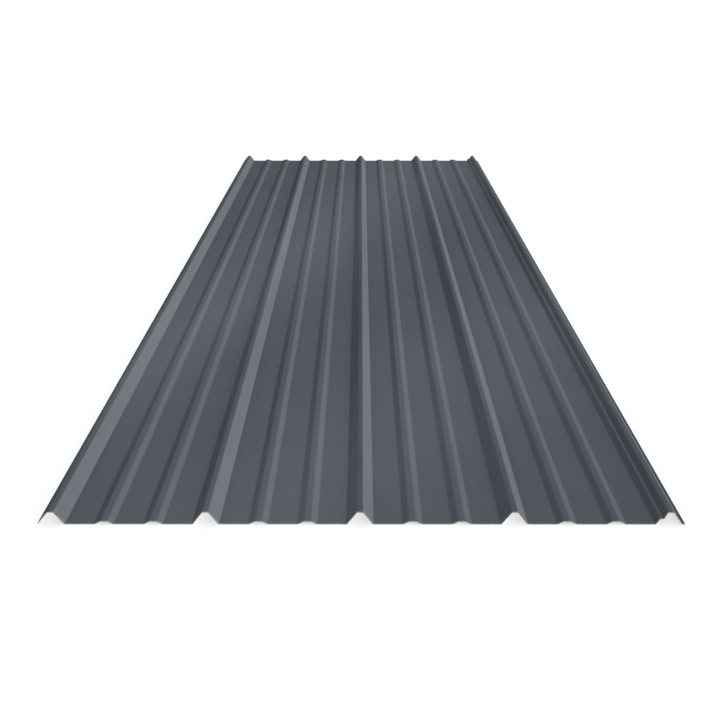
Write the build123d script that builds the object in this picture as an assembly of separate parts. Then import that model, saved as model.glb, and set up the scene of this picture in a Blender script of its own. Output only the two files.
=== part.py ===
"""Ribbed steel roofing sheet, rolled to shape from one flat painted strip.

The section lies across X and the sheet's length runs along Y, with the weather face up. The strip's
underside is laid out first, as a line of sharp corners from the overlap edge to the underlap edge.
Each corner is then bent to its own inside radius, and the weather face follows one gauge above it.
"""

import os

from build123d import *

# Strip
SHEET_LENGTH = 3048.0
GAUGE = 1.0
BEND_RADIUS = 2.0

# Major ribs
BAY_COUNT = 4
RIB_PITCH = 228.6
RIB_RISE = 19.5
RIB_BASE = 38.6
RIB_CROWN = 8.4

# Low stiffening ribs in the pan between two major ribs
STIFFENERS_PER_PAN = 2
STIFFENER_SPACING = 72.9
STIFFENER_RISE = 4.4
STIFFENER_BASE = 28.5
STIFFENER_CROWN = 10.4
STIFFENER_BEND_RADIUS = 6.0

# Overlap edge: a flared leg that stops short of the pan of the sheet below it
OVERLAP_LEG_RUN = 15.4
OVERLAP_LEG_LIFT = 1.2

# Underlap edge: a step in the web that breaks the creep of water, and a foot that bears on the purlin
LOWER_WEB_RUN = 6.1
STEP_RISE = 9.2
STEP_WIDTH = 5.4
STEP_DIP = 0.4
STEP_BEND_RADIUS = 1.2
UPPER_WEB_RUN = 5.0
UNDERLAP_LEG_RUN = 13.7
BEARING_FOOT = 4.4


def rib(axis, base, crown, rise, bend_radius):
    """Corners of a flat-topped rib on an axis, from foot to foot, each with its inside bend radius."""
    return [
        (axis - base / 2, 0, bend_radius),
        (axis - crown / 2, rise, bend_radius),
        (axis + crown / 2, rise, bend_radius),
        (axis + base / 2, 0, bend_radius),
    ]


def major_rib(axis):
    return rib(axis, RIB_BASE, RIB_CROWN, RIB_RISE, BEND_RADIUS)


def stiffener(axis):
    return rib(axis, STIFFENER_BASE, STIFFENER_CROWN, STIFFENER_RISE, STIFFENER_BEND_RADIUS)


def overlap_rib(axis):
    """A major rib whose outer web is the free leg of the overlap edge."""
    leg_tip = (axis - RIB_CROWN / 2 - OVERLAP_LEG_RUN, OVERLAP_LEG_LIFT, 0)
    return [leg_tip, *major_rib(axis)[1:]]


def underlap_rib(axis):
    """A rib with a stepped inner web, and an outer leg that ends in a flat bearing foot."""
    inner_foot = axis - RIB_BASE / 2
    step_start = inner_foot + LOWER_WEB_RUN
    step_end = step_start + STEP_WIDTH
    crown_start = step_end + UPPER_WEB_RUN
    crown_end = crown_start + RIB_CROWN
    outer_foot = crown_end + UNDERLAP_LEG_RUN
    return [
        (inner_foot, 0, BEND_RADIUS),
        (step_start, STEP_RISE, STEP_BEND_RADIUS),
        (step_end, STEP_RISE - STEP_DIP, STEP_BEND_RADIUS),
        (crown_start, RIB_RISE, BEND_RADIUS),
        (crown_end, RIB_RISE, BEND_RADIUS),
        (outer_foot, 0, BEND_RADIUS),
        (outer_foot + BEARING_FOOT, 0, 0),
    ]


def pan(start_axis):
    """Corners of the stiffeners between the major rib at start_axis and the next one."""
    middle = start_axis + RIB_PITCH / 2
    first = middle - STIFFENER_SPACING * (STIFFENERS_PER_PAN - 1) / 2
    corners = []
    for place in range(STIFFENERS_PER_PAN):
        corners += stiffener(first + place * STIFFENER_SPACING)
    return corners


def underside_corners():
    """All the sharp corners of the underside, from the overlap edge to the underlap edge."""
    rib_axes = [number * RIB_PITCH for number in range(BAY_COUNT + 1)]
    corners = overlap_rib(rib_axes[0])
    for axis in rib_axes[1:-1]:
        corners += pan(axis - RIB_PITCH) + major_rib(axis)
    return corners + pan(rib_axes[-2]) + underlap_rib(rib_axes[-1])


def bent_face(corners, height):
    """The strip's face at a height square off the underside, bent at every corner."""
    points = [Vector(x, z) for x, z, _ in corners]
    runs = [(end - start).normalized() for start, end in zip(points, points[1:])]
    squares = [Vector(-run.Y, run.X) for run in runs]

    face_points = [points[0] + squares[0] * height]
    face_radii = []
    for number in range(1, len(points) - 1):
        before, after = squares[number - 1], squares[number]
        mitre = (before + after) / (1 + before.dot(after))
        face_points.append(points[number] + mitre * height)
        inside_radius = corners[number][2]
        is_crest = before.cross(after).Z < 0
        face_radii.append(inside_radius + (height if is_crest else GAUGE - height))
    face_points.append(points[-1] + squares[-1] * height)
    return FilletPolyline(*face_points, radius=face_radii)


def ribbed_sheet():
    """The strip's bent section carried along the sheet's length, centred over its resting plane."""
    corners = underside_corners()
    underside = bent_face(corners, 0)
    weather_face = bent_face(corners, GAUGE)
    overlap_edge = Line(underside @ 0, weather_face @ 0)
    underlap_edge = Line(underside @ 1, weather_face @ 1)
    section = make_face([underside, weather_face, overlap_edge, underlap_edge])
    sheet = extrude(Plane.XZ * section, SHEET_LENGTH)
    box = sheet.bounding_box()
    return Pos(-box.center().X, -box.center().Y, -box.min.Z) * sheet


os.makedirs("parts", exist_ok=True)
export_step(ribbed_sheet(), "parts/ribbed_sheet.step")
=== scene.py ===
import math

import bpy
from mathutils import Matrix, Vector


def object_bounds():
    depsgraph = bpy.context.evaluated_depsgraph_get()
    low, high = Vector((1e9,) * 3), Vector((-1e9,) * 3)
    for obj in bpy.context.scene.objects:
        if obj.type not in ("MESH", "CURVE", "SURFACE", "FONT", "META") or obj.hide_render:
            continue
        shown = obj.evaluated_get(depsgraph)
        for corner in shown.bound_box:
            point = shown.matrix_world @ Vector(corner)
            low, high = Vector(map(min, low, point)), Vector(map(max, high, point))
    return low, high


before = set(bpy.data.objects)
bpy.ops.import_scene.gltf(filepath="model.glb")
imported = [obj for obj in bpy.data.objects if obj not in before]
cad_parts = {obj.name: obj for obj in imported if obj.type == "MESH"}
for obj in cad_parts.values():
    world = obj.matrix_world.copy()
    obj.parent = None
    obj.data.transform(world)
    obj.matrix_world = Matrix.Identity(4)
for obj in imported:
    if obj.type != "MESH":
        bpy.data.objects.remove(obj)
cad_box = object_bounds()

# A ribbed metal sheet that lies on a white floor, seen from its near end.
# Lengths are metres and angles are degrees. X runs across the ribs, Y along them, and Z is up.

# Camera, standing before the near end and looking along the ribs, tilted down from level
CAMERA_SIDE = -0.0006
CAMERA_AHEAD = 1.4139
CAMERA_HEIGHT = 0.7867
CAMERA_LEVEL = 90.0
CAMERA_TILT = 20.44
CAMERA_YAW = -0.044
CAMERA_LENS = 54.042
SENSOR_WIDTH = 36.0

# Cool light from all round, and a low warm key light from the right that shapes the webs.
# A strength of 1 lights a face that is square to the light as an all-white room would.
WORLD_COLOUR = (0.946, 0.967, 1.0, 1.0)
WORLD_STRENGTH = 0.63
BACKGROUND_COLOUR = (1.0, 1.0, 1.0, 1.0)
KEY_COLOUR = (1.0, 0.943, 0.917)
KEY_STRENGTH = 1.37
KEY_FROM_VERTICAL = 78.0
KEY_ANGLE = 20.0

# Two rows of strip lights close over the sheet, which cross it at a slant and widen away from the camera
STRIPS_PER_ROW = 5
STRIP_ROW_REACH = 2.0
STRIP_RISE_SHARE = 0.73
STRIP_MIDDLE_SHARE = 0.5
STRIP_ROWS = {
    "left_strip": {
        "near_side": -0.80,
        "far_side": 0.415,
        "near_width": 0.074,
        "far_width": 0.397,
        "strength": 0.49,
    },
    "right_strip": {
        "near_side": -0.41,
        "far_side": 1.885,
        "near_width": 0.214,
        "far_width": 0.536,
        "strength": 0.37,
    },
}

# Pale floor, which only the light from all round reaches, so that it takes an even shadow of the sheet.
# A glow that shows only to the camera and in reflections lifts the open floor to plain white.
FLOOR_SIZE = 60.0
FLOOR_COLOUR = (0.7, 0.7, 0.7, 1.0)
FLOOR_GLOW = 0.59

# Charcoal paint on the weather face, quite dull, with faint streaks along the way it was rolled on.
# Noise stays near its middle, so each range of noise below is spread out over a whole change.
PAINT_COLOUR = (0.093, 0.105, 0.119)
PAINT_VARIATION_SHARE = 0.03
PAINT_ROUGHNESS = (0.52, 0.66)
PAINT_GLOSS = 0.0
STREAKS_PER_METRE = (110.0, 1.4, 110.0)
MOTTLES_PER_METRE = (5.0, 5.0, 5.0)
MOTTLE_RANGE = (0.3, 0.7)
TONE_RANGE = (0.7, 1.3)
GRAINS_PER_METRE = (900.0, 900.0, 900.0)
GRAIN_HEIGHT = 0.000008

# Painted shade that darkens the rib crowns in patches, most on the middle rib, and the paint near the two
# long edges
CROWN_SHADE_DEPTHS = (0.0001, 0.0006)
CROWN_SHADE_SHARE = 0.28
CROWN_SHADE_SPREAD = 0.3
CROWN_SHADE_SIDE_SHARE = 0.2
CROWN_SHADE_PATCH_SHARES = (0.5, 1.0)
EDGE_SHADE_REACH = 0.014
EDGE_SHADE_SHARE = 0.3

# Pale wash coat on the underside
BACKER_COLOUR = (0.42, 0.43, 0.42)
BACKER_VARIATION_SHARE = 0.06
BACKER_ROUGHNESS = 0.7

# Bare sheared steel on the cut ends and slit sides, and the worn paint beside the cut ends, which is lighter
# and is also a painted highlight along them
STEEL_COLOUR = (0.24, 0.245, 0.26)
STEEL_ROUGHNESS = 0.45
SLIT_WIDTH = 0.0008
FACING_SHARE = 0.5
WEAR_AND_HIGHLIGHT_COLOUR = (0.21, 0.22, 0.242)
WEAR_AND_HIGHLIGHT_REACHES = (0.0006, 0.003)
WEAR_AND_HIGHLIGHT_RANGE = (0.3, 0.7)
WEAR_AND_HIGHLIGHT_EDGE = 0.0008
NICKS_PER_METRE = (500.0, 500.0, 500.0)

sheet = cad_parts["ribbed_sheet"]
sheet_low, sheet_high = cad_box


def node(tree, kind, **settings):
    """A new shader node of a kind, with its settings."""
    made = tree.nodes.new("ShaderNode" + kind)
    for name, value in settings.items():
        setattr(made, name, value)
    return made


def feed(tree, target, value):
    """Links a socket to a node's input, or sets that input to a plain value."""
    if isinstance(value, bpy.types.NodeSocket):
        tree.links.new(value, target)
    else:
        target.default_value = value


def feed_all(tree, targets, values):
    """Feeds a node's inputs in turn, as far as the values go."""
    for target, value in zip(targets, values):
        feed(tree, target, value)


def calc(tree, operation, first, second=0.0):
    """The result of one sum on two sockets or numbers."""
    made = node(tree, "Math", operation=operation)
    feed_all(tree, made.inputs, (first, second))
    return made.outputs["Value"]


def fade(tree, value, start, end, low=0.0, high=1.0):
    """A value that goes smoothly from low, at start, to high, at end."""
    made = node(tree, "MapRange", interpolation_type="SMOOTHSTEP")
    feed_all(tree, made.inputs, (value, start, end, low, high))
    return made.outputs["Result"]


def noise(tree, place, per_metre):
    """Noise around a half, with so many grains to the metre along X, Y and Z."""
    stretch = node(tree, "Mapping")
    stretch.inputs["Scale"].default_value = per_metre
    feed(tree, stretch.inputs["Vector"], place)
    made = node(tree, "TexNoise")
    made.inputs["Scale"].default_value = 1.0
    feed(tree, made.inputs["Vector"], stretch.outputs["Vector"])
    return made.outputs["Fac"]


def split(tree, vector):
    """The X, Y and Z of a vector."""
    made = node(tree, "SeparateXYZ")
    feed(tree, made.inputs["Vector"], vector)
    return made.outputs


def gap_inside(tree, limit, value):
    """How far a value lies inside a limit that holds on both sides of zero."""
    return calc(tree, "SUBTRACT", limit, calc(tree, "ABSOLUTE", value))


def mix(tree, kind, share, first, second):
    """A colour or a number, as its kind says, that goes from first to second as a share goes from 0 to 1."""
    made = node(tree, "Mix", data_type=kind)
    used_inputs = [socket for socket in made.inputs if socket.enabled]
    feed_all(tree, used_inputs, (share, first, second))
    return next(socket for socket in made.outputs if socket.enabled)


def dim(tree, colour, amount, share):
    """A colour made darker by a share, wherever an amount from 0 to 1 calls for it."""
    made = node(tree, "VectorMath", operation="SCALE")
    feed(tree, made.inputs["Vector"], colour)
    feed(tree, made.inputs["Scale"], calc(tree, "SUBTRACT", 1.0, calc(tree, "MULTIPLY", amount, share)))
    return made.outputs["Vector"]


def shade(colour, share=1.0):
    """A colour made lighter or darker by a share, with its alpha."""
    return (*(channel * share for channel in colour), 1.0)


def varied(tree, tone, colour, share):
    """A colour that goes from darker to lighter by a share as a tone goes from 0 to 1."""
    return mix(tree, "RGBA", tone, shade(colour, 1 - share), shade(colour, 1 + share))


def new_material(name):
    """A material with an empty node tree, and its output node."""
    material = bpy.data.materials.new(name)
    material.use_nodes = True
    material.node_tree.nodes.clear()
    return material, node(material.node_tree, "OutputMaterial")


def background_rays(tree):
    """A socket that is 1 for the rays that should see the plain white background."""
    path = node(tree, "LightPath")
    seen = calc(tree, "MAXIMUM", path.outputs["Is Camera Ray"], path.outputs["Is Glossy Ray"])
    return calc(tree, "MAXIMUM", seen, path.outputs["Is Transmission Ray"])


def steel_mask(tree, spot, facing):
    """1 where the steel was cut, on the two ends and the two slit sides, and 0 elsewhere."""
    end = calc(tree, "GREATER_THAN", calc(tree, "ABSOLUTE", facing["Y"]), FACING_SHARE)
    outward = calc(tree, "MULTIPLY", facing["X"], calc(tree, "SIGN", spot["X"]))
    sideways = calc(tree, "GREATER_THAN", outward, FACING_SHARE)
    not_upward = calc(tree, "LESS_THAN", facing["Z"], FACING_SHARE)
    at_side = calc(tree, "LESS_THAN", gap_inside(tree, sheet_high.x, spot["X"]), SLIT_WIDTH)
    slit = calc(tree, "MINIMUM", at_side, calc(tree, "MINIMUM", sideways, not_upward))
    return calc(tree, "MAXIMUM", end, slit)


def paint_colour(tree, place, spot, tone, mottles):
    """The weather face's colour: streaked paint, with painted shade on the rib crowns and along the long
    sides, and worn paint with a painted highlight at the ends.
    """
    colour = varied(tree, tone, PAINT_COLOUR, PAINT_VARIATION_SHARE)

    # Painted shade: the rib crowns are darkened in patches, most on the middle rib.
    crown = fade(tree, calc(tree, "SUBTRACT", sheet_high.z, spot["Z"]), *CROWN_SHADE_DEPTHS, 1.0, 0.0)
    patches = fade(tree, mottles, *MOTTLE_RANGE, *CROWN_SHADE_PATCH_SHARES)
    weight = fade(tree, calc(tree, "ABSOLUTE", spot["X"]), 0.0, CROWN_SHADE_SPREAD, 1.0, CROWN_SHADE_SIDE_SHARE)
    crown_shade = calc(tree, "MULTIPLY", crown, calc(tree, "MULTIPLY", patches, weight))
    colour = dim(tree, colour, crown_shade, CROWN_SHADE_SHARE)

    # Painted shade: the paint gets darker towards the two long edges.
    edge_shade = fade(tree, gap_inside(tree, sheet_high.x, spot["X"]), 0.0, EDGE_SHADE_REACH, 1.0, 0.0)
    colour = dim(tree, colour, edge_shade, EDGE_SHADE_SHARE)

    # Worn paint beside the cut ends, lighter than the paint, which also serves as a painted highlight along
    # the ends.
    reach = fade(tree, noise(tree, place, NICKS_PER_METRE), *WEAR_AND_HIGHLIGHT_RANGE, *WEAR_AND_HIGHLIGHT_REACHES)
    depth = calc(tree, "SUBTRACT", reach, gap_inside(tree, sheet_high.y, spot["Y"]))
    worn_and_highlit = fade(tree, depth, 0.0, WEAR_AND_HIGHLIGHT_EDGE)
    return mix(tree, "RGBA", worn_and_highlit, colour, shade(WEAR_AND_HIGHLIGHT_COLOUR))


def make_finish():
    """The finish of the whole sheet: paint above, wash coat below, bare steel where it was cut."""
    material, output = new_material("coil_coated_steel")
    tree = material.node_tree
    source = node(tree, "TexCoord")
    place = source.outputs["Object"]
    spot = split(tree, place)
    facing = split(tree, source.outputs["Normal"])
    mottles = noise(tree, place, MOTTLES_PER_METRE)
    tone = fade(tree, calc(tree, "ADD", noise(tree, place, STREAKS_PER_METRE), mottles), *TONE_RANGE)
    below = calc(tree, "LESS_THAN", facing["Z"], 0.0)
    bare = steel_mask(tree, spot, facing)

    paint = paint_colour(tree, place, spot, tone, mottles)
    backer = varied(tree, tone, BACKER_COLOUR, BACKER_VARIATION_SHARE)
    colour = mix(tree, "RGBA", below, paint, backer)
    colour = mix(tree, "RGBA", bare, colour, shade(STEEL_COLOUR))

    roughness = fade(tree, mottles, *MOTTLE_RANGE, *PAINT_ROUGHNESS)
    roughness = mix(tree, "FLOAT", below, roughness, BACKER_ROUGHNESS)
    roughness = mix(tree, "FLOAT", bare, roughness, STEEL_ROUGHNESS)

    bump = node(tree, "Bump")
    bump.inputs["Distance"].default_value = GRAIN_HEIGHT
    feed(tree, bump.inputs["Height"], noise(tree, place, GRAINS_PER_METRE))

    shader = node(tree, "BsdfPrincipled")
    shader.inputs["Specular IOR Level"].default_value = PAINT_GLOSS
    feed(tree, shader.inputs["Base Color"], colour)
    feed(tree, shader.inputs["Metallic"], bare)
    feed(tree, shader.inputs["Roughness"], roughness)
    feed(tree, shader.inputs["Normal"], bump.outputs["Normal"])
    feed(tree, output.inputs["Surface"], shader.outputs["BSDF"])
    return material


def make_floor():
    """The floor under the sheet, which is part of the stage."""
    material, output = new_material("pale_floor")
    tree = material.node_tree
    lit = node(tree, "BsdfDiffuse")
    lit.inputs["Color"].default_value = FLOOR_COLOUR
    glow = node(tree, "Emission")
    glow.inputs["Color"].default_value = BACKGROUND_COLOUR
    feed(tree, glow.inputs["Strength"], calc(tree, "MULTIPLY", background_rays(tree), FLOOR_GLOW))
    surface = node(tree, "AddShader")
    feed_all(tree, surface.inputs, (lit.outputs["BSDF"], glow.outputs["Emission"]))
    feed(tree, output.inputs["Surface"], surface.outputs["Shader"])

    bpy.ops.mesh.primitive_plane_add(size=FLOOR_SIZE, location=(0, 0, sheet_low.z))
    floor = bpy.context.object
    floor.name = "floor"
    floor.data.materials.append(material)
    return floor


def make_world():
    """The light from all round, which shows as plain white where the background is seen."""
    world = bpy.data.worlds.new("studio")
    bpy.context.scene.world = world
    world.use_nodes = True
    tree = world.node_tree
    tree.nodes.clear()
    light = node(tree, "Background")
    light.inputs["Color"].default_value = WORLD_COLOUR
    light.inputs["Strength"].default_value = WORLD_STRENGTH
    white = node(tree, "Background")
    white.inputs["Color"].default_value = BACKGROUND_COLOUR
    seen = background_rays(tree)
    surface = node(tree, "MixShader")
    feed_all(tree, surface.inputs, (seen, light.outputs["Background"], white.outputs["Background"]))
    feed(tree, node(tree, "OutputWorld").inputs["Surface"], surface.outputs["Shader"])


def make_light_group(unlit):
    """A group for lamps that light everything but one object."""
    group = bpy.data.collections.new("all_but_" + unlit.name)
    group.objects.link(unlit)
    group.collection_objects[0].light_linking.link_state = "EXCLUDE"
    return group


def place_lamp(light, group, rotation, location=(0, 0, 0)):
    """Puts a light in the scene that casts no shadow, and that neither the camera nor a glossy ray sees."""
    light.use_shadow = False
    lamp = bpy.data.objects.new(light.name, light)
    lamp.location = location
    lamp.rotation_euler = rotation
    lamp.visible_camera = False
    lamp.visible_glossy = False
    lamp.light_linking.receiver_collection = group
    bpy.context.scene.collection.objects.link(lamp)


def make_key_light(group):
    """The key light, a sun, which shines alike wherever it stands."""
    light = bpy.data.lights.new("key", "SUN")
    light.color = KEY_COLOUR
    light.energy = KEY_STRENGTH * math.pi
    light.angle = math.radians(KEY_ANGLE)
    place_lamp(light, group, (0, math.radians(KEY_FROM_VERTICAL), 0))


def make_strip_row(name, group, near_side, far_side, near_width, far_width, strength):
    """A straight row of strip lights that face down, each as high over the sheet as its width calls for."""
    run = Vector((far_side - near_side, 2 * STRIP_ROW_REACH))
    length = run.length / STRIPS_PER_ROW
    for number in range(STRIPS_PER_ROW):
        share = (number + STRIP_MIDDLE_SHARE) / STRIPS_PER_ROW
        width = near_width + share * (far_width - near_width)
        light = bpy.data.lights.new(name, "AREA")
        light.shape = "RECTANGLE"
        light.size = width
        light.size_y = length
        light.energy = strength * math.pi * width * length
        location = (near_side + share * run.x, share * run.y - STRIP_ROW_REACH, STRIP_RISE_SHARE * width)
        place_lamp(light, group, (0, 0, -math.atan2(run.x, run.y)), location)


def make_camera():
    """The camera, at the height and tilt that the ribs and the two ends were seen with."""
    data = bpy.data.cameras.new("camera")
    data.lens = CAMERA_LENS
    data.sensor_width = SENSOR_WIDTH
    camera = bpy.data.objects.new("camera", data)
    camera.location = (CAMERA_SIDE, sheet_low.y - CAMERA_AHEAD, CAMERA_HEIGHT)
    camera.rotation_euler = (math.radians(CAMERA_LEVEL - CAMERA_TILT), 0, math.radians(-CAMERA_YAW))
    bpy.context.scene.collection.objects.link(camera)
    bpy.context.scene.camera = camera


sheet.data.materials.clear()
sheet.data.materials.append(make_finish())
lamp_group = make_light_group(make_floor())
make_world()
make_key_light(lamp_group)
for strip_name, strip_row in STRIP_ROWS.items():
    make_strip_row(strip_name, lamp_group, **strip_row)
make_camera()
bpy.context.scene.view_settings.view_transform = "Standard"
